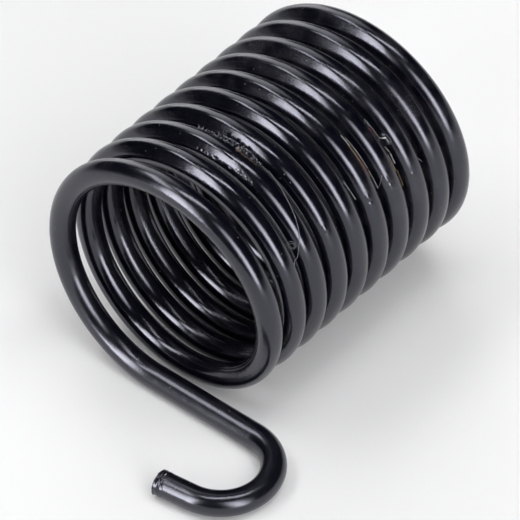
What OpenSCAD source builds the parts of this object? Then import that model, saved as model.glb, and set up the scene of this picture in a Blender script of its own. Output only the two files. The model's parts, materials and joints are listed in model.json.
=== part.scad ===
// Hooked torsion spring, bent from one length of round wire: a right-hand open coil,
// a straight leg that leaves the coil at a tangent, and a round hook at the end of the leg.
//
// The coil's axis is Y and the leg runs along +X under the coil, with Z up. The origin is
// on the coil's axis, in the plane of the leg, so the turns stand on the +Y side of it and
// the hook bends towards -Y. All sizes are in millimetres.

/* [Wire] */
// Diameter of the round wire
wire_d = 2.5; // [1.5:0.1:3.2]
// Bevel round each cut end of the wire
end_bevel = 0.3; // [0.05:0.05:0.5]

/* [Coil] */
// Mean diameter of the coil, measured to the middle of the wire
coil_mean_d = 23.6; // [18:0.1:36]
// Turns from the leg round to the plain end
coil_turns = 10.1; // [3:0.1:11]
// Clear gap between two turns of the coil's even stretch
turn_gap = 0.5; // [0.1:0.05:2]
// Extra gap that the pulled leg has opened in the first turns, added up over them
opening = 0.8; // [0:0.05:2]
// Turns over which the first turns are opened
opening_turns = 0.85; // [0.5:0.05:3]
// Turns over which the coil's slope dies away into the leg
run_out_turns = 0.06; // [0.02:0.01:0.2]

/* [Leg and hook] */
// Straight length of the leg, from the lowest point of the coil to the hook's bend
leg_length = 12.1; // [4:0.1:30]
// Inside radius of the hook's bend
hook_inner_r = 3.6; // [2:0.05:8]
// Angle that the hook is bent through
hook_angle = 173; // [90:1:200]
// Straight length past the hook's bend
tip_length = 3.6; // [1:0.1:8]

/* [Hidden] */

// Facets round the wire, and rings along one turn and along the hook's bend
wire_sides = 12;
rings_per_turn = 40;
hook_rings = 20;

wire_r = wire_d / 2;
coil_r = coil_mean_d / 2;
pitch = wire_d + turn_gap;
hook_r = hook_inner_r + wire_r;
coil_rings = ceil(coil_turns * rings_per_turn);
black_lacquer = [0.09, 0.09, 0.10];

// A station is one ring of the wire: its centre, the way the wire runs, the way that faces
// away from the coil's axis, and its radius.

// Angle about the coil's axis at the given number of turns from the leg
function turn_angle(turns) = -90 - 360 * turns;

// Place along the coil's axis at the given number of turns from the leg
function turn_y(turns) =
    pitch * (turns - run_out_turns * (1 - exp(-turns / run_out_turns)))
    + opening * (1 - exp(-pow(turns / opening_turns, 2)));

// Rise along the axis for each turn, at the given number of turns from the leg
function turn_slope(turns) =
    pitch * (1 - exp(-turns / run_out_turns))
    + opening * 2 * turns / pow(opening_turns, 2) * exp(-pow(turns / opening_turns, 2));

function unit(v) = v / norm(v);

function coil_station(turns, r) =
    let (a = turn_angle(turns))
    [
        [coil_r * cos(a), turn_y(turns), coil_r * sin(a)],
        unit([-sin(a), -turn_slope(turns) / (2 * PI * coil_r), cos(a)]),
        [cos(a), 0, sin(a)],
        r
    ];

function hook_station(bend, past, r) =
    [
        [
            leg_length + hook_r * sin(bend) + past * cos(bend),
            -hook_r * (1 - cos(bend)) - past * sin(bend),
            -coil_r
        ],
        [cos(bend), -sin(bend), 0],
        [0, 0, -1],
        r
    ];

// Turns taken up by one bevel's length of wire
bevel_turns = end_bevel / (2 * PI * coil_r);

stations = [
    coil_station(coil_turns, wire_r - end_bevel),
    coil_station(coil_turns - bevel_turns, wire_r),
    for (i = [1 : coil_rings]) coil_station(coil_turns * (1 - i / coil_rings), wire_r),
    for (i = [0 : hook_rings]) hook_station(hook_angle * i / hook_rings, 0, wire_r),
    hook_station(hook_angle, tip_length - end_bevel, wire_r),
    hook_station(hook_angle, tip_length, wire_r - end_bevel)
];

function ring_points(s) = [
    for (k = [0 : wire_sides - 1])
        let (a = 360 * k / wire_sides)
        s[0] + s[3] * (cos(a) * s[2] + sin(a) * cross(s[1], s[2]))
];

// Number of one corner of one ring in the list of points
function corner(ring, k) = ring * wire_sides + k % wire_sides;

// One tube through all the stations, closed by a flat face at each cut end
module wire() {
    last_ring = len(stations) - 1;
    points = [for (s = stations) each ring_points(s)];
    walls = [
        for (i = [0 : last_ring - 1], k = [0 : wire_sides - 1])
            each [
                [corner(i, k), corner(i + 1, k), corner(i + 1, k + 1)],
                [corner(i, k), corner(i + 1, k + 1), corner(i, k + 1)]
            ]
    ];
    coil_end = [for (k = [0 : wire_sides - 1]) corner(0, k)];
    hook_end = [for (k = [wire_sides - 1 : -1 : 0]) corner(last_ring, k)];
    polyhedron(points, concat(walls, [coil_end, hook_end]), convexity = 10);
}

module torsion_spring() {
    color(black_lacquer) wire();
}

torsion_spring();
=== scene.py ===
import json
import math
import random
from collections import namedtuple

import bmesh
import bpy
from mathutils import Matrix, Quaternion, Vector, noise


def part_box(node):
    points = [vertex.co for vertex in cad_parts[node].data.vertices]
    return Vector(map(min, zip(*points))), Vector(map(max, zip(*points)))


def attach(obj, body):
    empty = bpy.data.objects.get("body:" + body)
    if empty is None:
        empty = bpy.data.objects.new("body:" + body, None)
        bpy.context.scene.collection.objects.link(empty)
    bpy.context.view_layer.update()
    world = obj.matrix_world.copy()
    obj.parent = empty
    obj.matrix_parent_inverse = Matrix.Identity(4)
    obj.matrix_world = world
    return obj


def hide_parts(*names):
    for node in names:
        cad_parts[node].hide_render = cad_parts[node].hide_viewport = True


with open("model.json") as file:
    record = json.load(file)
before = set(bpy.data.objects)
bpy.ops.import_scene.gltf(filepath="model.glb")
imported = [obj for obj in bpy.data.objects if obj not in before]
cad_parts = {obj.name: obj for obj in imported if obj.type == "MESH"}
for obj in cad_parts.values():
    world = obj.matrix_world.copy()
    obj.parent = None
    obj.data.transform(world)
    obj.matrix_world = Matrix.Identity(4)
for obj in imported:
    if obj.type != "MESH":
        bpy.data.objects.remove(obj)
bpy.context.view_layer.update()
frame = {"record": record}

bl_info = {
    "name": "Hooked torsion spring",
    "version": (1, 0, 0),
    "blender": (4, 5, 0),
    "location": "View3D > Sidebar > Torsion spring",
    "description": "Builds a black lacquered torsion spring with a hook, and a stage for it",
    "category": "Add Mesh",
}

MM = 0.001
NODE = "torsion_spring"
BODY = "root"
PLACE = "wire_place"

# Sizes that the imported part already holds
MOUNTS = {mount["name"]: mount for mount in frame["record"]["mounts"]}
BORE_R = MOUNTS["coil_bore"]["dims"]["r_mm"] * MM
HOOK_CENTRE = Vector(MOUNTS["hook"]["pos_m"])
OUTER_R = -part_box(NODE)[0][2]
FLOOR_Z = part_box(NODE)[0][2]

# Fineness of the wire's mesh: the sides round it, the steps along each stretch of it, and the
# rings that close a cut end, each as a share of the one before
WIRE_SIDES = 40
STEPS_PER_TURN = 120
LEG_STEPS = 12
HOOK_STEPS = 60
TIP_STEPS = 5
ROUNDING_STEPS = 6
CLOSING_SHARES = (0.72, 0.6, 0.4)
# The stretch before the sheared end, which has finer steps
SHEARED_LENGTH = 1.2 * MM
SHEARED_STEPS = 24
# Cuts across a face where the lacquer is hurt, how far past a mark's edge they go, and how far
# past its ends the faces to cut and the vertices to raise are looked for, in mm
WEAR_CUTS = 5
CUT_MARGIN = 0.25
CUT_REACH = 1
RAISE_REACH = 1.7
# The flat that the coiling tool pressed along the side of each turn that faces the hook: its
# middle and half width in degrees round the wire, the shares of a turn at which it starts and
# ends and over which it fades, and the turns from the leg before which there is none
FLAT_MIDDLE = -52
FLAT_HALF = 25
FLAT_START = 0.34
FLAT_END = 0.60
FLAT_FADE = 0.10
FIRST_FLAT = 1.2
# Distance under which two points of a mesh are one
MERGE = 1e-6

# Marks on the lacquer. Each runs from one place to another, as turns from the leg and degrees
# round the wire from the side that faces away from the coil's axis, with its half width in mm
MARKS = {
    "crust": (
        (2.478, 24, 2.492, 40, 0.07),
        (3.480, -90, 3.512, -82, 0.17),
        (3.512, -82, 3.545, -78, 0.19),
        (3.545, -78, 3.562, -86, 0.14),
        (2.500, 40, 2.538, 38, 0.13),
    ),
    "comb": (
        (2.494, -69, 2.521, -66, 0.16),
        (2.521, -66, 2.556, -76, 0.20),
    ),
    "bubbles": (
        (2.553, -52, 2.573, -55, 0.36),
    ),
    # Pale scratches: real scratches on the lacquer, whose pale colour is partly a painted glint
    # standing in for the light their edges catch
    "pale": (
        (5.598, 35, 5.612, 37, 0.055),
        (6.603, -98, 6.621, -95, 0.050),
        (6.621, -94, 6.651, -92, 0.070),
        (6.655, -92, 6.681, -88, 0.055),
        (7.603, -98, 7.632, -96, 0.050),
        (7.630, -80, 7.633, -60, 0.045),
        (7.645, -94, 7.652, -87, 0.075),
        (7.655, -86, 7.669, -88, 0.080),
        (5.647, -98, 5.659, -91, 0.085),
        (5.661, -90, 5.672, -83, 0.060),
        (-0.4015, 160, -0.4010, 190, 0.045),
    ),
    "gold": (
        (5.612, 33, 5.628, 33, 0.055),
        (6.650, 42, 6.672, 38, 0.065),
        (7.680, -93, 7.703, -90, 0.055),
    ),
    "brown": (
        (2.534, 29, 2.546, 28, 0.15),
        (2.548, 30, 2.562, 33, 0.14),
    ),
    "orange": (
        (5.628, 33, 5.657, 41, 0.065),
    ),
    "red": (
        (6.611, 30, 6.623, 42, 0.060),
        (6.670, -93, 6.676, -93, 0.040),
    ),
}

# Beads of lacquer, in the same terms, with their height in mm
BEADS = (
    (7.632, -71, 7.638, -68, 0.38, 0.28),
    (5.674, -27, 5.677, -24, 0.22, 0.035),
    (5.684, -27, 5.688, -25, 0.26, 0.038),
    (6.671, -36, 6.675, -33, 0.22, 0.03),
    (6.682, -28, 6.686, -26, 0.26, 0.038),
    (6.691, -25, 6.694, -24, 0.20, 0.03),
    (3.668, -28, 3.672, -26, 0.22, 0.03),
    (7.690, -30, 7.694, -28, 0.22, 0.03),
)

# How each kind of mark looks: its height off the lacquer in mm, how ragged its edge is, the
# grains of that edge in a mm, and how much duller than the lacquer it is
MarkLook = namedtuple("MarkLook", "height ragged grain dullness")
MARK_LOOKS = {
    "crust": MarkLook(0.5, 1.4, 7.0, 0.06),
    "comb": MarkLook(0.04, 1.6, 9.0, 0.0),
    "bubbles": MarkLook(0.03, 1.0, 6.0, 0.08),
    "brown": MarkLook(0.08, 7.0, 9.0, 0.0),
    "pale": MarkLook(0.035, 1.3, 5.0, 0.3),
    "gold": MarkLook(0.02, 1.3, 5.0, 0.3),
    "orange": MarkLook(0.03, 1.3, 5.0, 0.3),
    "red": MarkLook(0.02, 1.3, 5.0, 0.3),
}
# Kinds of mark with a colour of their own, each laid over the one before; the pale scratches'
# colour is partly a painted glint
COLOURED = ("brown", "gold", "orange", "red", "pale")

# Grains in mm of the marks' relief, along the wire and across it where they differ: flakes and
# crumbs of the crust, teeth of the comb, blisters, and breaks in a scratch
FLAKES = (0.34, 0.16)
CRUST_CRUMBS = 0.13
COMB_TEETH = (0.09, 0.5)
BLISTERS = 0.11
SCRATCH_BREAKS = 0.28

# The sheared end of the hook, in mm back from the cut. The groove that the shears pressed in
# and the lip before it have their middle, half width and height, slant by a share of the way
# across, and are deepest at an angle in radians round the wire. The lumps have their height and
# their grain along the wire and across it, and fade out. The notch is cut into the edge
SHEARED_REACH = 1.3
GROOVE = (0.52, 0.055, -0.10)
LIP = (0.36, 0.08, 0.03)
SLANT = 0.08
PRESSED_ANGLE = 0.5
LUMPS = ((0.10, 0.35, 0.4), (0.03, 0.12, 0.3))
LUMPS_END = 1.2
LUMPS_FADE = 0.7
NOTCH_DEPTH = 0.16
NOTCH_LENGTH = 0.2
NOTCH_ANGLE = -0.25
NOTCH_HALF = 0.22

# The lacquer's changes in mm along the wire: where hands have rubbed it duller, where its pits
# become coarse, and where dust and haze gather towards the plain end
RUBBED = (75, 20)
PITTED = (40, 110)
DUSTY = (200, 600)
HAZY = (250, 600)
# Roughness of the clean lacquer and of the rubbed one, and what else adds to it
CLEAN_ROUGHNESS = 0.135
RUBBED_ROUGHNESS = 0.21
HAZE_ROUGHNESS = 0.045
PIT_ROUGHNESS = 0.07
FILM_ROUGHNESS = 0.04
SPECK_ROUGHNESS = 0.4
# Relief of the lacquer: the depth of its peel in mm, and the others as shares of that
PEEL_DEPTH = 0.012
LINE_DEPTH = 0.25
PIT_DEPTH = 0.15
SPECK_HEIGHT = 3.0
# Dust: the least and most that its film tints the lacquer, the size of a speck as a share of the
# cell it lies in, and the share of empty cells
FILM_TINT = (0.006, 0.045)
SPECK_SIZE = 0.05
SPECKLESS = 0.6


class WireSizes(bpy.types.PropertyGroup):
    """Sizes of the bent wire, which match the solid"""

    wire_r: bpy.props.FloatProperty(
        name="Wire radius", description="Radius of the round wire",
        default=(OUTER_R - BORE_R) / 2, unit="LENGTH", precision=5)
    coil_r: bpy.props.FloatProperty(
        name="Coil radius", description="Radius of the coil, to the middle of the wire",
        default=(OUTER_R + BORE_R) / 2, unit="LENGTH", precision=5)
    turns: bpy.props.FloatProperty(
        name="Turns", description="Turns from the leg round to the plain end", default=10.1)
    pitch: bpy.props.FloatProperty(
        name="Pitch", description="Distance from one turn to the next in the even stretch",
        default=3.0 * MM, unit="LENGTH", precision=5)
    opening: bpy.props.FloatProperty(
        name="Opening", description="Extra gap that the leg has opened in the first turns",
        default=0.8 * MM, unit="LENGTH", precision=5)
    opening_turns: bpy.props.FloatProperty(
        name="Opening turns", description="Turns over which the first turns are opened",
        default=0.85)
    run_out_turns: bpy.props.FloatProperty(
        name="Run-out turns", description="Turns over which the slope dies away into the leg",
        default=0.06)
    leg_length: bpy.props.FloatProperty(
        name="Leg length", description="Straight length from the coil to the hook's bend",
        default=HOOK_CENTRE.x, unit="LENGTH", precision=5)
    hook_r: bpy.props.FloatProperty(
        name="Hook radius", description="Radius of the hook's bend, to the middle of the wire",
        default=-HOOK_CENTRE.y, unit="LENGTH", precision=5)
    hook_angle: bpy.props.FloatProperty(
        name="Hook angle", description="Angle that the hook is bent through",
        default=math.radians(173), subtype="ANGLE")
    tip_length: bpy.props.FloatProperty(
        name="Tip length", description="Straight length past the hook's bend",
        default=3.6 * MM, unit="LENGTH", precision=5)
    end_rounding: bpy.props.FloatProperty(
        name="End rounding", description="Radius of the rounded edge round each cut end",
        default=0.5 * MM, unit="LENGTH", precision=5)


class LacquerLook(bpy.types.PropertyGroup):
    """Colours of the lacquer, of its wear with the painted glint of its pale scratches, and of the
    dust on it
    """

    black: bpy.props.FloatVectorProperty(
        name="Lacquer", description="Colour of the lacquer", subtype="COLOR",
        size=3, min=0, max=1, default=(0.0018, 0.0018, 0.0052))
    sheen_tint: bpy.props.FloatVectorProperty(
        name="Gloss tint", description="Tint of the lacquer's gloss", subtype="COLOR",
        size=3, min=0, max=1, default=(0.86, 0.86, 1.0))
    # Pale scratches: scratched lacquer painted pale, partly a painted glint that stands in for the
    # light their edges catch
    pale: bpy.props.FloatVectorProperty(
        name="Scratches", description="Colour of scratched lacquer", subtype="COLOR",
        size=3, min=0, max=1, default=(0.78, 0.78, 0.80))
    brown: bpy.props.FloatVectorProperty(
        name="Brown wear", description="Colour of scuffed lacquer", subtype="COLOR",
        size=3, min=0, max=1, default=(0.075, 0.057, 0.035))
    gold: bpy.props.FloatVectorProperty(
        name="Golden wear", description="Colour of lacquer worn down to gold", subtype="COLOR",
        size=3, min=0, max=1, default=(0.50, 0.36, 0.12))
    orange: bpy.props.FloatVectorProperty(
        name="Orange wear", description="Colour of lacquer worn down to orange", subtype="COLOR",
        size=3, min=0, max=1, default=(0.50, 0.20, 0.07))
    red: bpy.props.FloatVectorProperty(
        name="Red wear", description="Colour of lacquer worn down to red", subtype="COLOR",
        size=3, min=0, max=1, default=(0.22, 0.02, 0.05))
    dust: bpy.props.FloatVectorProperty(
        name="Dust", description="Colour of the dust and lint", subtype="COLOR",
        size=3, min=0, max=1, default=(0.32, 0.32, 0.34))


# --- Where things lie on the wire -------------------------------------------------------------

def turn_y(sizes, turns):
    """Place along the coil's axis at the given number of turns from the leg."""
    run_out = sizes.run_out_turns * (1 - math.exp(-turns / sizes.run_out_turns))
    opened = 1 - math.exp(-(turns / sizes.opening_turns) ** 2)
    return sizes.pitch * (turns - run_out) + sizes.opening * opened


def turn_length(sizes):
    """Length of the wire in one turn of the coil."""
    return math.tau * sizes.coil_r


def tip_frame(sizes):
    """The way the tip runs and the way to the outside of the hook's bend there."""
    cos, sin = math.cos(sizes.hook_angle), math.sin(sizes.hook_angle)
    return Vector((cos, -sin, 0)), Vector((sin, cos, 0))


def wire_frame(sizes, along):
    """The middle of the wire, the way away from the coil's axis and the way to the far side, at
    a distance along the wire from the coil's lowest point. Behind it are the leg and the hook."""
    if along >= 0:
        turns = along / turn_length(sizes)
        angle = -math.pi / 2 - math.tau * turns
        out = Vector((math.cos(angle), 0, math.sin(angle)))
        return sizes.coil_r * out + Vector((0, turn_y(sizes, turns), 0)), out, Vector((0, 1, 0))
    bend = min(max(-along - sizes.leg_length, 0) / sizes.hook_r, sizes.hook_angle)
    straight = -along - sizes.hook_r * bend
    way = Vector((math.cos(bend), -math.sin(bend), 0))
    side = Vector((math.sin(bend), math.cos(bend), 0))
    hook_centre = Vector((min(straight, sizes.leg_length), -sizes.hook_r, -sizes.coil_r))
    centre = hook_centre + side * sizes.hook_r + way * max(straight - sizes.leg_length, 0)
    return centre, Vector((0, 0, -1)), side


def on_wire(sizes, turns, degrees, height=0.0):
    """A point on the wire, or at a height in mm off it."""
    centre, out, side = wire_frame(sizes, turns * turn_length(sizes))
    angle = math.radians(degrees)
    radius = sizes.wire_r + height * MM
    return centre + radius * (math.cos(angle) * out + math.sin(angle) * side)


def wire_radius(sizes, place):
    """Radius of the wire at a place on the wire laid straight, less on the pressed flats."""
    turns = place.x * MM / turn_length(sizes)
    angle = math.atan2(place.z, place.y) - math.radians(FLAT_MIDDLE)
    half = math.radians(FLAT_HALF)
    if turns < FIRST_FLAT or abs(angle) >= half:
        return sizes.wire_r
    share = min(turns % 1 - FLAT_START, FLAT_END - turns % 1) / FLAT_FADE
    share = max(0, min(1, share))
    share = share * share * (3 - 2 * share)
    return sizes.wire_r * (1 + share * (math.cos(half) / math.cos(angle) - 1))


def straight_place(sizes, turns, degrees):
    """The same place on the wire laid straight, in mm: along it, and two ways across it."""
    angle = math.radians(degrees)
    across = sizes.wire_r / MM
    return Vector((
        turns * turn_length(sizes) / MM, across * math.cos(angle), across * math.sin(angle)))


def leg_place(sizes, point):
    """Place of a point of the leg, hook or tip on the wire laid straight, in mm."""
    x, y = point.x - sizes.leg_length, point.y + sizes.hook_r
    out = -(point.z + sizes.coil_r)
    bend = math.atan2(x, y) % math.tau
    if x <= 0 and y > 0:
        along, side = point.x, y - sizes.hook_r
    elif bend <= sizes.hook_angle:
        along, side = sizes.leg_length + sizes.hook_r * bend, math.hypot(x, y) - sizes.hook_r
    else:
        way, outside = tip_frame(sizes)
        along = sizes.leg_length + sizes.hook_r * sizes.hook_angle + x * way.x + y * way.y
        side = x * outside.x + y * outside.y - sizes.hook_r
    return Vector((-along, out, side)) / MM


# --- The wire's mesh --------------------------------------------------------------------------

def ring_edges(verts):
    """The edges that join the given vertices round one ring."""
    ring = set(verts)
    edges = dict.fromkeys(edge for vert in verts for edge in vert.link_edges)
    return [edge for edge in edges if ring.issuperset(edge.verts)]


def vertices_in(geometry):
    """The vertices among the elements that a bmesh operator returns."""
    return [element for element in geometry if isinstance(element, bmesh.types.BMVert)]


def push(bm, verts, move, share=1.0):
    """Extrudes a ring of the wire by one step, shrinks it to a share and returns the new ring."""
    ring = vertices_in(bmesh.ops.extrude_edge_only(bm, edges=ring_edges(verts))["geom"])
    bmesh.ops.translate(bm, verts=ring, vec=move)
    if share != 1:
        centre = sum((v.co for v in ring), Vector()) / len(ring)
        bmesh.ops.scale(
            bm, verts=ring, vec=(share, share, share), space=Matrix.Translation(-centre))
    return ring


def sweep(bm, verts, **spin):
    """Spins a ring of the wire round an axis and returns the last ring."""
    geometry = list(verts) + ring_edges(verts)
    made = bmesh.ops.spin(bm, geom=geometry, use_merge=False, use_duplicate=False, **spin)
    return vertices_in(made["geom_last"])


def coil_turns_at(sizes, point):
    """Turns from the leg to a point on the even helix, which starts at its lowest point."""
    share = (-0.25 - math.atan2(point.z, point.x) / math.tau) % 1
    return share + round(point.y / sizes.pitch - share)


def wind_coil(bm, sizes, first):
    """Winds the coil from its first ring: one turn is spun and repeated, then the rest is spun."""
    axis = {"cent": (0, 0, 0), "axis": (0, 1, 0)}
    climb = Vector((0, sizes.pitch / STEPS_PER_TURN, 0))
    last = sweep(bm, first, angle=math.tau, dvec=climb, steps=STEPS_PER_TURN, **axis)
    whole_turns = int(sizes.turns)
    turn = bm.verts[:] + bm.edges[:] + bm.faces[:]
    for number in range(1, whole_turns):
        copy = bmesh.ops.duplicate(bm, geom=turn)
        bmesh.ops.translate(
            bm, verts=vertices_in(copy["geom"]), vec=(0, sizes.pitch * number, 0))
        if number == whole_turns - 1:
            last = [copy["vert_map"][v] for v in last]
    steps = round((sizes.turns - whole_turns) * STEPS_PER_TURN)
    angle = math.tau * steps / STEPS_PER_TURN
    last = sweep(bm, last, angle=angle, dvec=climb, steps=steps, **axis)
    kept = set(last)
    bmesh.ops.remove_doubles(bm, verts=[v for v in bm.verts if v not in kept], dist=MERGE)
    return last


def settle_coil(bm, sizes, layer):
    """Notes each vertex's place on the wire, and opens the first turns of the even helix to where
    the pulled leg leaves them."""
    for vert in bm.verts:
        turns = coil_turns_at(sizes, vert.co)
        out = math.hypot(vert.co.x, vert.co.z) - sizes.coil_r
        side = vert.co.y - sizes.pitch * turns
        vert[layer] = Vector((turns * turn_length(sizes), out, side)) / MM
        shrink = wire_radius(sizes, vert[layer]) / sizes.wire_r - 1
        away = Vector((vert.co.x, 0, vert.co.z)).normalized()
        vert.co += (away * out + Vector((0, side, 0))) * shrink
        turns = max(turns, 0)
        vert.co.y += turn_y(sizes, turns) - sizes.pitch * turns


def close_end(bm, sizes, verts, way):
    """Rounds off one cut end of the wire, from the last ring that has its full width."""
    rounding = sizes.end_rounding
    ring, radius, gone = verts, sizes.wire_r, 0.0
    for step in range(1, ROUNDING_STEPS + 1):
        angle = math.pi / 2 * step / ROUNDING_STEPS
        ahead = rounding * math.sin(angle)
        smaller = sizes.wire_r - rounding * (1 - math.cos(angle))
        ring = push(bm, ring, way * (ahead - gone), smaller / radius)
        radius, gone = smaller, ahead
    for share in CLOSING_SHARES:
        ring = push(bm, ring, Vector(), share)
    bmesh.ops.contextual_create(bm, geom=ring_edges(ring))


def mark_distance(place, start, end):
    """Distance from a place on the wire laid straight to a mark that runs between two others."""
    run = end - start
    share = max(0, min(1, (place - start).dot(run) / run.length_squared))
    return (place - start - run * share).length


def all_marks(sizes):
    """Each mark and bead: its kind, its two ends on the wire laid straight, half width, height."""
    for kind, marks in MARKS.items():
        for turns, degrees, end_turns, end_degrees, half in marks:
            yield (kind, straight_place(sizes, turns, degrees),
                   straight_place(sizes, end_turns, end_degrees), half,
                   MARK_LOOKS[kind].height)
    for turns, degrees, end_turns, end_degrees, half, height in BEADS:
        yield ("bead", straight_place(sizes, turns, degrees),
               straight_place(sizes, end_turns, end_degrees), half, height)


def grains_at(place, along, across):
    """Noise at a place on the wire laid straight, in grains of a length and a width in mm."""
    return noise.noise(Vector((place.x / along, place.y / across, place.z / across)))


def mark_rise(kind, place, nearness, height):
    """Height in mm of a mark at a place, with the nearness going from 0 at the mark's edge to 1
    on its middle line."""
    plateau = min(nearness * 2, 1)
    if kind == "bead":
        return height * math.sqrt(1 - (1 - nearness) ** 2)
    if kind in ("crust", "brown"):
        crumbs = noise.noise(place / CRUST_CRUMBS)
        return height * plateau * (1.3 * abs(grains_at(place, *FLAKES)) + 0.7 * crumbs)
    if kind == "comb":
        return height * plateau * grains_at(place, *COMB_TEETH)
    if kind == "bubbles":
        return height * plateau * noise.noise(place / BLISTERS)
    broken = 0.7 + 0.9 * noise.noise(Vector((place.x / SCRATCH_BREAKS, 0, height)))
    return height * nearness * max(broken, 0)


def mark_lacquer(bm, sizes, layer):
    """Cuts the faces round each mark finer and raises the mark off the round wire."""
    marks = list(all_marks(sizes))
    near = [
        vert for vert in bm.verts
        if any(start.x - CUT_REACH < vert[layer].x < end.x + CUT_REACH
               and mark_distance(vert[layer], start, end) < half + CUT_MARGIN
               for _, start, end, half, _ in marks)]
    edges = dict.fromkeys(edge for vert in near for face in vert.link_faces for edge in face.edges)
    bmesh.ops.subdivide_edges(bm, edges=list(edges), cuts=WEAR_CUTS, use_grid_fill=True)
    for vert in bm.verts:
        place = vert[layer].copy()
        beside = [
            mark for mark in marks
            if mark[1].x - RAISE_REACH < place.x < mark[2].x + RAISE_REACH]
        if not beside:
            continue
        rise = 0.0
        for kind, start, end, half, height in beside:
            nearness = 1 - mark_distance(place, start, end) / half
            if nearness > 0:
                rise += mark_rise(kind, place, nearness, height)
        centre, out, side = wire_frame(sizes, place.x * MM)
        across = (place.y * out + place.z * side).normalized()
        vert.co = centre + across * (wire_radius(sizes, place) + rise * MM)


def shear_tip(bm, sizes, layer):
    """Roughens the cut end of the hook, with a groove that the shears pressed in near it."""
    bm.normal_update()
    end = -(sizes.leg_length + sizes.hook_r * sizes.hook_angle + sizes.tip_length) / MM
    for vert in bm.verts:
        place = vert[layer]
        back = place.x - end
        if place.x > 0 or back > SHEARED_REACH:
            continue
        angle = math.atan2(place.z, -place.y)
        pressed = max(0, math.cos(angle - PRESSED_ANGLE)) ** 0.5
        groove, lip = (
            height * math.exp(-((back - middle - SLANT * place.z) / half) ** 2) * pressed
            for middle, half, height in (GROOVE, LIP))
        lumps = sum(height * grains_at(place, along, across) for height, along, across in LUMPS)
        notch = -NOTCH_DEPTH * math.exp(
            -((back / NOTCH_LENGTH) ** 2 + ((angle - NOTCH_ANGLE) / NOTCH_HALF) ** 2))
        fade = max(0, min(1, (LUMPS_END - back) / LUMPS_FADE))
        vert.co += vert.normal * (groove + lip + lumps * fade + notch) * MM


def wire_mesh(sizes):
    """The whole wire: coil, leg, hook and tip, with the marks on its lacquer."""
    bm = bmesh.new()
    layer = bm.verts.layers.float_vector.new(PLACE)
    start = Matrix.Translation((0, 0, -sizes.coil_r)) @ Matrix.Rotation(math.pi / 2, 4, "Y")
    bmesh.ops.create_circle(
        bm, cap_ends=False, radius=sizes.wire_r, segments=WIRE_SIDES, matrix=start)
    plain_end = wind_coil(bm, sizes, bm.verts[:])
    ring = [vert for vert in bm.verts if vert.is_boundary and vert.co.y < sizes.pitch]
    settle_coil(bm, sizes, layer)
    angle = -math.pi / 2 - math.tau * sizes.turns
    plain_way = Vector((math.sin(angle), sizes.pitch / turn_length(sizes), -math.cos(angle)))
    bmesh.ops.translate(bm, verts=plain_end, vec=-plain_way * sizes.end_rounding)
    close_end(bm, sizes, plain_end, plain_way)
    coil = set(bm.verts)
    for _ in range(LEG_STEPS):
        ring = push(bm, ring, Vector((sizes.leg_length / LEG_STEPS, 0, 0)))
    hook_centre = (sizes.leg_length, -sizes.hook_r, -sizes.coil_r)
    ring = sweep(
        bm, ring, cent=hook_centre, axis=(0, 0, 1), angle=-sizes.hook_angle,
        dvec=(0, 0, 0), steps=HOOK_STEPS)
    way, _ = tip_frame(sizes)
    plain_length = sizes.tip_length - sizes.end_rounding - SHEARED_LENGTH
    for length, steps in ((plain_length, TIP_STEPS), (SHEARED_LENGTH, SHEARED_STEPS)):
        for _ in range(steps):
            ring = push(bm, ring, way * (length / steps))
    close_end(bm, sizes, ring, way)
    for vert in bm.verts:
        if vert not in coil:
            vert[layer] = leg_place(sizes, vert.co)
    mark_lacquer(bm, sizes, layer)
    bmesh.ops.recalc_face_normals(bm, faces=bm.faces)
    shear_tip(bm, sizes, layer)
    return bm


def mesh_object(name, bm, material, smooth=True):
    """Turns a bmesh into an object of the scene with one material."""
    mesh = bpy.data.meshes.new(name)
    bm.to_mesh(mesh)
    bm.free()
    mesh.polygons.foreach_set("use_smooth", [smooth] * len(mesh.polygons))
    mesh.materials.append(material)
    made = bpy.data.objects.new(name, mesh)
    bpy.context.scene.collection.objects.link(made)
    return made


def finish_piece(name, bm, material, smooth=True):
    """Turns a bmesh into a piece of the spring, which rides with the part."""
    piece = mesh_object(name, bm, material, smooth)
    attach(piece, BODY)
    return piece


# --- Materials --------------------------------------------------------------------------------

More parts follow.
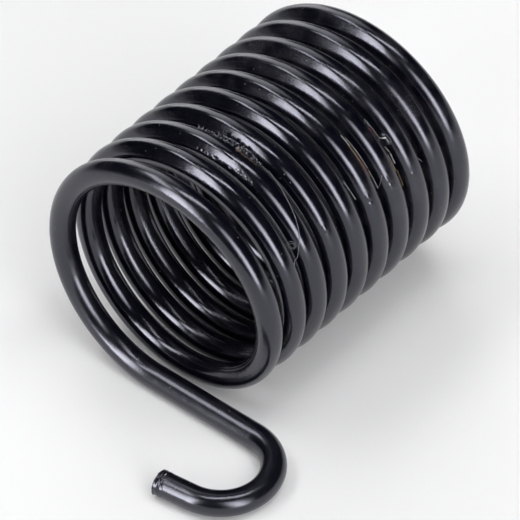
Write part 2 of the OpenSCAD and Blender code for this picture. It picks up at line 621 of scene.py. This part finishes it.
class Tree:
    """A node tree that takes a node, its settings and its links in one call"""

    def __init__(self, tree):
        self.tree = tree

    def feed(self, socket, value):
        """Links an output to a socket, or sets the socket to a constant."""
        if isinstance(value, bpy.types.NodeSocket):
            self.tree.links.new(value, socket)
        else:
            socket.default_value = value

    def fill(self, node, inputs):
        """Feeds the inputs of a node, each given by its name or number."""
        for name, value in inputs.items():
            self.feed(node.inputs[name], value)

    def node(self, kind, inputs=None, **settings):
        """A new node with its settings changed and its inputs fed."""
        node = self.tree.nodes.new(kind)
        for name, value in settings.items():
            setattr(node, name, value)
        self.fill(node, inputs or {})
        return node

    def math(self, operation, *values):
        """The result of an operation on numbers."""
        inputs = dict(enumerate(values))
        return self.node("ShaderNodeMath", inputs, operation=operation).outputs[0]

    def vector(self, operation, *values):
        """The outputs of an operation on vectors."""
        inputs = dict(enumerate(values))
        return self.node("ShaderNodeVectorMath", inputs, operation=operation).outputs

    def noise(self, place, scale, detail=2.0, stretch=(1, 1, 1)):
        """Noise of about one grain in 1 / scale, drawn out where the stretch is under 1."""
        placed = self.vector("MULTIPLY", place, stretch)["Vector"]
        return self.node(
            "ShaderNodeTexNoise", {"Vector": placed, "Scale": scale, "Detail": detail}).outputs[0]

    def ramp(self, value, low, high, to_low=0.0, to_high=1.0):
        """Goes smoothly from one value to another while the given value goes from low to high."""
        inputs = {
            "Value": value, "From Min": low, "From Max": high,
            "To Min": to_low, "To Max": to_high}
        return self.node(
            "ShaderNodeMapRange", inputs, interpolation_type="SMOOTHSTEP").outputs["Result"]

    def blend(self, mask, first, second):
        """One colour where the mask is 0 and the other where it is 1."""
        node = self.node("ShaderNodeMix", {0: mask}, data_type="RGBA")
        colours = [socket for socket in node.inputs if socket.type == "RGBA"]
        for socket, value in zip(colours, (first, second)):
            self.feed(socket, value)
        return next(socket for socket in node.outputs if socket.type == "RGBA")


def new_material(name):
    """A material with nodes, its tree and its shader."""
    material = bpy.data.materials.new(name)
    material.use_nodes = True
    return material, Tree(material.node_tree), material.node_tree.nodes["Principled BSDF"]


def new_group(name, inputs, outputs):
    """A shader node group, with its tree, the values given to it and the node that takes its
    results. Each input is a name, a kind and a default."""
    group = bpy.data.node_groups.new(name, "ShaderNodeTree")
    for label, kind, default in inputs:
        socket = group.interface.new_socket(
            label, in_out="INPUT", socket_type="NodeSocket" + kind)
        socket.default_value = default
    for label in outputs:
        group.interface.new_socket(label, in_out="OUTPUT", socket_type="NodeSocketFloat")
    tree = Tree(group)
    given = tree.node("NodeGroupInput").outputs
    result = tree.node("NodeGroupOutput")
    return group, tree, given, result


def mark_group():
    """A ragged mark that runs from one place on the wire to another."""
    group, tree, given, result = new_group(
        "lacquer_mark",
        (("Place", "Vector", (0, 0, 0)), ("Start", "Vector", (0, 0, 0)),
         ("End", "Vector", (1, 0, 0)), ("Half Width", "Float", 0.1), ("Ragged", "Float", 0.5),
         ("Grain", "Float", 6.0)),
        ("Mask",))
    run = tree.vector("SUBTRACT", given["End"], given["Start"])["Vector"]
    ahead = tree.vector("SUBTRACT", given["Place"], given["Start"])["Vector"]
    share = tree.math("DIVIDE", tree.vector("DOT_PRODUCT", ahead, run)["Value"],
                      tree.vector("DOT_PRODUCT", run, run)["Value"])
    share = tree.node("ShaderNodeClamp", {"Value": share}).outputs[0]
    nearest = tree.node(
        "ShaderNodeVectorMath", {0: run, "Scale": share}, operation="SCALE").outputs["Vector"]
    off = tree.vector("LENGTH", tree.vector("SUBTRACT", ahead, nearest)["Vector"])["Value"]
    off = tree.math("DIVIDE", off, given["Half Width"])
    grain = tree.noise(given["Place"], given["Grain"])
    wobble = tree.math("MULTIPLY", tree.math("SUBTRACT", grain, 0.5), given["Ragged"])
    tree.fill(result, {"Mask": tree.ramp(tree.math("ADD", off, wobble), 1.15, 0.75)})
    return group


def skin_group():
    """The skin of the lacquer: peel, faint lines along the wire, fine pits, and wide patches
    that have more of them."""
    group, tree, given, result = new_group(
        "lacquer_skin", (("Place", "Vector", (0, 0, 0)),), ("Peel", "Lines", "Pits", "Patches"))
    place = given["Place"]
    tree.fill(result, {
        "Peel": tree.noise(place, 1.9, stretch=(0.7, 1, 1)),
        "Lines": tree.noise(place, 5.5, 3.0, stretch=(0.05, 1, 1)),
        "Pits": tree.noise(place, 8.5),
        "Patches": tree.ramp(tree.noise(place, 0.22), 0.42, 0.62),
    })
    return group


def dust_group():
    """Dust: a thin film in cloudy patches, and scattered specks."""
    group, tree, given, result = new_group(
        "dust", (("Place", "Vector", (0, 0, 0)),), ("Film", "Specks"))
    place = given["Place"]
    cell = tree.node("ShaderNodeTexVoronoi", {"Vector": place, "Scale": 1.25}).outputs
    speck = tree.math("LESS_THAN", cell["Distance"], SPECK_SIZE)
    draw = tree.node("ShaderNodeSeparateColor", {"Color": cell["Color"]}).outputs[0]
    tree.fill(result, {
        "Film": tree.ramp(tree.noise(place, 0.6, 4.0), 0.4, 0.7),
        "Specks": tree.math("MULTIPLY", speck, tree.math("GREATER_THAN", draw, SPECKLESS)),
    })
    return group


def mark_masks(tree, sizes, place):
    """The mask of each kind of mark on the lacquer."""
    group = mark_group()
    masks = {}
    for kind, start, end, half, _ in all_marks(sizes):
        if kind not in MARK_LOOKS:
            continue
        mask = tree.node("ShaderNodeGroup", {
            "Place": place, "Start": start, "End": end, "Half Width": half,
            "Ragged": MARK_LOOKS[kind].ragged, "Grain": MARK_LOOKS[kind].grain},
            node_tree=group).outputs["Mask"]
        masks[kind] = tree.math("MAXIMUM", masks[kind], mask) if kind in masks else mask
    return masks


def lacquer_material(sizes, look):
    """Glossy black lacquer with its marks, its pits and peel, and the dust on it."""
    material, tree, shader = new_material("black_lacquer")
    place = tree.node(
        "ShaderNodeAttribute", attribute_type="GEOMETRY", attribute_name=PLACE).outputs["Vector"]
    along = tree.node("ShaderNodeSeparateXYZ", {"Vector": place}).outputs["X"]
    skin = tree.node("ShaderNodeGroup", {"Place": place}, node_tree=skin_group()).outputs
    dust = tree.node("ShaderNodeGroup", {"Place": place}, node_tree=dust_group()).outputs
    masks = mark_masks(tree, sizes, place)
    facing = tree.node("ShaderNodeSeparateXYZ", {
        "Vector": tree.node("ShaderNodeNewGeometry").outputs["Normal"]}).outputs["Z"]
    specks = tree.math("MULTIPLY", dust["Specks"], tree.ramp(facing, -0.4, 0.8))

    film = tree.math("MULTIPLY", dust["Film"], tree.ramp(along, *DUSTY, *FILM_TINT))
    colour = tree.blend(film, (*look.black, 1), (*look.dust, 1))
    colour = tree.blend(specks, colour, (*look.dust, 1))
    # Mark colours laid over the lacquer; the pale scratches among them are partly a painted glint
    for kind in COLOURED:
        colour = tree.blend(masks[kind], colour, (*getattr(look, kind), 1))

    coarse = tree.math("MULTIPLY", tree.ramp(skin["Patches"], 0.0, 1.0, 0.45, 1.0),
                       tree.ramp(along, *PITTED, 0.25, 1.0))
    dull = tree.math("MULTIPLY", tree.ramp(skin["Pits"], 0.42, 0.62), coarse)
    rough = tree.math("ADD", tree.ramp(along, *RUBBED, CLEAN_ROUGHNESS, RUBBED_ROUGHNESS),
                      tree.ramp(along, *HAZY, 0.0, HAZE_ROUGHNESS))
    rough = tree.math("MULTIPLY_ADD", dull, PIT_ROUGHNESS, rough)
    rough = tree.math("MULTIPLY_ADD", dust["Film"], FILM_ROUGHNESS, rough)
    for kind, mark_look in MARK_LOOKS.items():
        if mark_look.dullness:
            rough = tree.math("MULTIPLY_ADD", masks[kind], mark_look.dullness, rough)
    rough = tree.math("MULTIPLY_ADD", specks, SPECK_ROUGHNESS, rough)

    height = tree.math("MULTIPLY_ADD", skin["Lines"], LINE_DEPTH, skin["Peel"])
    pits = tree.math("MULTIPLY", skin["Pits"], coarse)
    height = tree.math("MULTIPLY_ADD", pits, PIT_DEPTH, height)
    height = tree.math("MULTIPLY_ADD", specks, SPECK_HEIGHT, height)
    bump = tree.node("ShaderNodeBump", {
        "Height": height, "Strength": 1.0, "Distance": PEEL_DEPTH * MM})
    tree.fill(shader, {
        "Base Color": colour, "Roughness": rough, "Normal": bump.outputs["Normal"], "IOR": 1.58,
        "Specular IOR Level": 0.66, "Specular Tint": (*look.sheen_tint, 1)})
    return material


def lint_material(look):
    """Grey fibre, unevenly dark."""
    material, tree, shader = new_material("lint")
    place = tree.node("ShaderNodeTexCoord").outputs["Object"]
    shade = tree.noise(place, 4.0 / MM, 3.0)
    darker = (*(0.5 * part for part in look.dust), 1)
    tree.fill(shader, {
        "Base Color": tree.blend(tree.ramp(shade, 0.35, 0.65), darker, (*look.dust, 1)),
        "Roughness": tree.ramp(shade, 0.3, 0.7, 0.6, 0.9), "Specular IOR Level": 0.3})
    return material


# --- Lint and dust ----------------------------------------------------------------------------

# Threads of lint: the radius in mm of each, and its places on the wire as turns, degrees round
# it and height off it in mm
THREADS = (
    (0.028, ((3.575, -80, 0.0), (3.585, -86, 0.10), (2.598, 36, 0.16), (2.615, 22, 0.06),
             (2.635, 2, 0.05), (2.652, -19, 0.05), (2.663, -38, 0.05), (2.670, -52, 0.06),
             (2.680, -70, 0.14), (1.676, 30, 0.16), (1.682, 18, 0.04))),
    (0.022, ((6.665, -42, 0.04), (6.670, -54, 0.06), (6.675, -66, 0.05), (6.680, -82, 0.08))),
    (0.022, ((5.643, -104, 0.02), (5.646, -99, 0.12), (5.650, -92, 0.05))),
    (0.020, ((5.649, -104, 0.04), (5.646, -98, 0.10), (5.643, -90, 0.06))),
    (0.025, ((6.604, 30, 0.04), (6.600, 38, 0.14), (6.604, 46, 0.10), (6.610, 44, 0.02))),
    (0.022, ((7.676, 20, 0.02), (7.678, 24, 0.20), (7.682, 30, 0.28), (7.684, 38, 0.20))),
)

# The knot of lint: its thread's radius and its points, its middle as turns and degrees, how far
# it spreads in both, its height in mm, how much of that it rises and falls by, and the angle in
# radians from one point to the next round it
KNOT_RADIUS = 0.014
KNOT_POINTS = 44
KNOT_MIDDLE = (2.6635, -72)
KNOT_SPREAD = (0.0040, 15)
KNOT_HEIGHT = (0.11, 0.08)
KNOT_STEP = 0.62

# Fineness of a thread: its sides, and its steps from one place to the next
THREAD_SIDES = 6
THREAD_STEPS = 6

# Crumbs of dust that lie apart, as turns and degrees, with their size in mm
CRUMB_SIZE = 0.035
CRUMBS = (
    (0.436, -81), (0.258, -98), (0.262, -95), (9.75, -58), (2.43, -20), (3.40, 5),
    (3.66, -42), (8.69, -92), (2.465, -38), (1.46, -30), (4.44, -12),
)
# Crumbs scattered over the upper side of the coil: how many, how far from its ends in turns, and
# the least and most of their degrees round the wire and of their size in mm
SCATTERED = 70
CLEAR_TURNS = 0.2
SCATTERED_DEGREES = (-110, 60)
SCATTERED_SIZE = (0.012, 0.026)
SEED = 7


def thread(bm, points, radius):
    """A thin round thread along a smooth path through the given points."""
    path = []
    for number in range(len(points) - 1):
        before = points[max(number - 1, 0)]
        first, second = points[number], points[number + 1]
        after = points[min(number + 2, len(points) - 1)]
        for step in range(THREAD_STEPS):
            share = step / THREAD_STEPS
            path.append(0.5 * (
                2 * first + (second - before) * share
                + (2 * before - 5 * first + 4 * second - after) * share ** 2
                + (3 * first - before - 3 * second + after) * share ** 3))
    path.append(points[-1])
    ring = None
    for number, point in enumerate(path):
        way = path[min(number + 1, len(path) - 1)] - path[max(number - 1, 0)]
        placed = Matrix.Translation(point) @ way.to_track_quat("Z", "Y").to_matrix().to_4x4()
        if ring is None:
            ring = bmesh.ops.create_circle(
                bm, cap_ends=False, radius=radius, segments=THREAD_SIDES, matrix=placed)["verts"]
            bmesh.ops.contextual_create(bm, geom=ring_edges(ring))
        else:
            ring = push(bm, ring, Vector())
            bmesh.ops.transform(bm, matrix=placed @ turned.inverted(), verts=ring)
        turned = placed
    bmesh.ops.contextual_create(bm, geom=ring_edges(ring))


def knot_path(sizes):
    """Points of the loose knot, which winds round its middle in uneven loops."""
    turns, degrees = KNOT_MIDDLE
    spread_turns, spread_degrees = KNOT_SPREAD
    height, rise = KNOT_HEIGHT
    path = []
    for point in range(KNOT_POINTS):
        angle = KNOT_STEP * point
        wide = 1 + 0.45 * math.sin(0.37 * angle)
        tall = 1 + 0.35 * math.cos(0.53 * angle)
        path.append(on_wire(
            sizes, turns + spread_turns * wide * math.cos(angle),
            degrees + spread_degrees * tall * math.sin(angle),
            height + rise * math.sin(1.7 * angle)))
    return path


def lint_mesh(sizes):
    """All the threads of lint, with the knot."""
    bm = bmesh.new()
    for radius, places in THREADS:
        thread(bm, [on_wire(sizes, *place) for place in places], radius * MM)
    thread(bm, knot_path(sizes), KNOT_RADIUS * MM)
    bmesh.ops.recalc_face_normals(bm, faces=bm.faces)
    return bm


def crumbs_mesh(sizes):
    """All the crumbs of dust, each turned and stretched at random."""
    bm = bmesh.new()
    draw = random.Random(SEED)
    spots = [(turns, degrees, CRUMB_SIZE) for turns, degrees in CRUMBS]
    for _ in range(SCATTERED):
        turns = draw.uniform(CLEAR_TURNS, sizes.turns - CLEAR_TURNS)
        degrees = draw.uniform(*SCATTERED_DEGREES)
        spots.append((turns, degrees, draw.uniform(*SCATTERED_SIZE)))
    for turns, degrees, size in spots:
        centre = on_wire(sizes, turns, degrees, size * 0.5)
        axes = [Vector([draw.gauss(0, 1) for _ in range(3)]).normalized() for _ in range(2)]
        turn = axes[0].rotation_difference(axes[1]).to_matrix().to_4x4()
        shape = Matrix.Diagonal((draw.uniform(1, 1.8), 1, draw.uniform(0.6, 1), 1))
        bmesh.ops.create_icosphere(
            bm, subdivisions=1, radius=size * MM,
            matrix=Matrix.Translation(centre) @ turn @ shape)
    return bm


# --- Stage ------------------------------------------------------------------------------------

# The floor in metres: its radius and the cove round it
FLOOR_R = 1.35
FLOOR_SIDES = 128
COVE_R = 0.12
COVE_STEPS = 8
FLOOR_WHITE = (0.9, 0.9, 0.905, 1)
# How much of white the floor adds to itself where it is seen, and the light from all round
FLOOR_GLOW = 0.06
STUDIO_DARK = (0.009, 0.009, 0.011, 1)

# What the camera and the lamps face, the camera's azimuth, elevation and roll in degrees, its
# distance in mm and its lens
TARGET = Vector((2.41, 12.31, -4.23)) * MM
CAMERA_SKY = (40.36, 44.18)
CAMERA_ROLL = -0.416
CAMERA_DISTANCE = 562.4
CAMERA_LENS = 415.4
CAMERA_SENSOR = 36

# How far off the lamps stand in metres, how much further a lamp's second one does, the energy
# that a square metre of lamp takes for a brightness of 1, and the stretch of a lamp's height
# over which the brightness changes towards its top
LAMP_DISTANCE = 0.8
GLINT_BEHIND = 0.01
ENERGY_PER_AREA = 4
TOP_STRETCH = (0.45, 0.95)
# Lamps round the spring: the patch of its sky that each one fills, how bright it is, where 1
# is white, its lean, the soft share of its width and height, the brightness of its top, and
# how much it gains in a glossy reflection, as a share of its light. A lamp with None there
# shows in no reflection and lights dull surfaces only
SOFTBOXES = (
    ("right_softbox", (66, 27, 40, 60), 3.4, 12, (0.50, 0.14), 0.38, 1.3),
    ("left_softbox", (-11.5, 14, 24, 78), 1.4, 0, (0.28, 0.22), 0.50, 6.6),
    ("back_softbox", (-60, 58, 44, 18), 4.3, 0, (0.14, 0.34), 1.0, 0.15),
    ("side_panel_low", (-124, 10, 26, 36), 1.7, 0, (0.2, 0.1), 1.0, 0.0),
    ("side_panel_mid", (-128, 37, 36, 28), 1.5, 0, (0.2, 0.1), 1.0, 0.0),
    ("side_panel_high", (-127, 58, 36, 18), 0.9, 0, (0.2, 0.1), 1.0, 0.0),
    ("top_softbox", (117, 86, 14, 42), 4.7, 25, (0.25, 0.12), 1.0, 0.4),
    ("floor_fill", (100, 60, 56, 56), 1.3, 0, (0.2, 0.2), 1.0, None),
)


def direction(azimuth, elevation):
    """The way to something seen from the spring: azimuth 0 is -Y and 90 is +X, in degrees."""
    a, e = math.radians(azimuth), math.radians(elevation)
    return Vector((math.sin(a) * math.cos(e), -math.cos(a) * math.cos(e), math.sin(e)))


def fade_edges(lamp, edge, top_share):
    """Lets a lamp's light fade towards its edges, and from its middle to its top."""
    lamp.use_nodes = True
    tree = Tree(lamp.node_tree)
    place = tree.node("ShaderNodeNewGeometry").outputs["Parametric"]
    across = tree.node("ShaderNodeSeparateXYZ", {"Vector": place}).outputs
    fades = []
    for axis, soft in zip(("X", "Y"), edge):
        off = tree.math("ABSOLUTE", tree.math("SUBTRACT", across[axis], 0.5))
        fades.append(tree.ramp(off, 0.5, 0.5 - soft))
    climb = tree.ramp(across["Y"], *TOP_STRETCH, 1.0, top_share)
    fade = tree.math("MULTIPLY", tree.math("MULTIPLY", *fades), climb)
    tree.fill(lamp.node_tree.nodes["Emission"], {"Strength": fade})


def softbox(name, patch, radiance, lean, edge, top_share, gleam):
    """A lamp that faces the target and fills a patch of its sky: azimuth and elevation of its
    middle, width and height, in degrees. It leans to its left by an angle. A second lamp just
    behind it adds to its gleam on glossy surfaces and lights no dull one."""
    azimuth, elevation, width, height = patch
    way = direction(azimuth, elevation)
    up = Vector((0, 0, 1))
    tall = (up - up.project(way)).normalized()
    tall.rotate(Quaternion(way, math.radians(lean)))
    turned = Matrix((tall.cross(way), tall, way)).transposed().to_quaternion()
    for part, share, lights_dull in (("", 1.0, True), ("_glint", gleam, False)):
        if not share:
            continue
        lamp = bpy.data.lights.new(name + part, "AREA")
        lamp.shape = "RECTANGLE"
        lamp.size = 2 * LAMP_DISTANCE * math.tan(math.radians(width) / 2)
        lamp.size_y = 2 * LAMP_DISTANCE * math.tan(math.radians(height) / 2)
        lamp.energy = radiance * share * ENERGY_PER_AREA * lamp.size * lamp.size_y
        fade_edges(lamp, edge, top_share)
        holder = bpy.data.objects.new(name + part, lamp)
        bpy.context.scene.collection.objects.link(holder)
        behind = 0 if lights_dull else GLINT_BEHIND
        holder.location = TARGET + way * (LAMP_DISTANCE + behind)
        holder.rotation_mode = "QUATERNION"
        holder.rotation_quaternion = turned
        holder.visible_camera = False
        holder.visible_diffuse = lights_dull
        holder.visible_glossy = gleam is not None


def stage_material():
    """Plain white, a little whiter where it is seen directly or in a reflection."""
    material, tree, shader = new_material("stage_white")
    path = tree.node("ShaderNodeLightPath").outputs
    seen = tree.math("MAXIMUM", path["Is Camera Ray"], path["Is Glossy Ray"])
    seen = tree.math("MAXIMUM", seen, path["Is Transmission Ray"])
    tree.fill(shader, {
        "Base Color": FLOOR_WHITE, "Roughness": 0.7, "Specular IOR Level": 0.1,
        "Emission Color": (1, 1, 1, 1),
        "Emission Strength": tree.math("MULTIPLY", seen, FLOOR_GLOW)})
    return material


def floor_mesh():
    """A round floor whose rim curves up in a cove."""
    bm = bmesh.new()
    rim = bmesh.ops.create_circle(
        bm, cap_ends=True, radius=FLOOR_R, segments=FLOOR_SIDES,
        matrix=Matrix.Translation((0, 0, FLOOR_Z)))["verts"]
    for step in range(1, COVE_STEPS + 1):
        angle = math.radians(90 * step / COVE_STEPS)
        radius = FLOOR_R + COVE_R * math.sin(angle)
        height = FLOOR_Z + COVE_R * (1 - math.cos(angle))
        rim = vertices_in(bmesh.ops.extrude_edge_only(bm, edges=ring_edges(rim))["geom"])
        for vert in rim:
            flat = vert.co.to_2d().normalized() * radius
            vert.co = (flat.x, flat.y, height)
    return bm


def light_studio(scene):
    """The soft lamps, and a faint light from all round."""
    for lamp in SOFTBOXES:
        softbox(*lamp)
    world = bpy.data.worlds.new("studio")
    world.use_nodes = True
    world.node_tree.nodes["Background"].inputs["Color"].default_value = STUDIO_DARK
    scene.world = world


def place_camera(scene):
    """The camera, with a long lens so that near and far turns look alike."""
    camera = bpy.data.cameras.new("camera")
    camera.lens = CAMERA_LENS
    camera.sensor_width = CAMERA_SENSOR
    camera.clip_start = 0.01
    camera.clip_end = 10
    holder = bpy.data.objects.new("camera", camera)
    scene.collection.objects.link(holder)
    back = direction(*CAMERA_SKY)
    holder.location = TARGET + back * CAMERA_DISTANCE * MM
    holder.rotation_mode = "QUATERNION"
    roll = Quaternion((0, 0, 1), math.radians(CAMERA_ROLL))
    holder.rotation_quaternion = (-back).to_track_quat("-Z", "Y") @ roll
    scene.camera = holder


# --- Operators and panel ----------------------------------------------------------------------

class SPRING_OT_wire(bpy.types.Operator):
    """Build the bent wire with its coil, leg and hook"""

    bl_idname = "spring.wire"
    bl_label = "Wire"

    def execute(self, context):
        sizes = context.scene.spring_sizes
        material = lacquer_material(sizes, context.scene.spring_look)
        wire = finish_piece("spring_wire", wire_mesh(sizes), material)
        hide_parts(NODE)
        return {"FINISHED"}


class SPRING_OT_lint(bpy.types.Operator):
    """Lay the loose lint threads and the crumbs of dust on the wire"""

    bl_idname = "spring.lint"
    bl_label = "Lint and dust"

    def execute(self, context):
        sizes = context.scene.spring_sizes
        material = lint_material(context.scene.spring_look)
        finish_piece("lint_threads", lint_mesh(sizes), material)
        finish_piece("dust_crumbs", crumbs_mesh(sizes), material, smooth=False)
        return {"FINISHED"}


class SPRING_OT_stage(bpy.types.Operator):
    """Set up the pale floor, the soft lamps and the camera"""

    bl_idname = "spring.stage"
    bl_label = "Stage"

    def execute(self, context):
        floor = mesh_object("floor", floor_mesh(), stage_material())
        light_studio(context.scene)
        place_camera(context.scene)
        context.scene.view_settings.view_transform = "Standard"
        return {"FINISHED"}


class VIEW3D_PT_torsion_spring(bpy.types.Panel):
    """Lists the spring's operators"""

    bl_label = "Torsion spring"
    bl_space_type = "VIEW_3D"
    bl_region_type = "UI"
    bl_category = "Torsion spring"

    def draw(self, context):
        for operator in (SPRING_OT_wire, SPRING_OT_lint, SPRING_OT_stage):
            self.layout.operator(operator.bl_idname)


CLASSES = (
    WireSizes, LacquerLook, SPRING_OT_wire, SPRING_OT_lint, SPRING_OT_stage,
    VIEW3D_PT_torsion_spring,
)


def register():
    for cls in CLASSES:
        bpy.utils.register_class(cls)
    bpy.types.Scene.spring_sizes = bpy.props.PointerProperty(type=WireSizes)
    bpy.types.Scene.spring_look = bpy.props.PointerProperty(type=LacquerLook)


def unregister():
    del bpy.types.Scene.spring_look
    del bpy.types.Scene.spring_sizes
    for cls in reversed(CLASSES):
        bpy.utils.unregister_class(cls)


def main():
    register()
    bpy.ops.spring.wire()
    bpy.ops.spring.lint()
    bpy.ops.spring.stage()


if __name__ == "__main__":
    main()
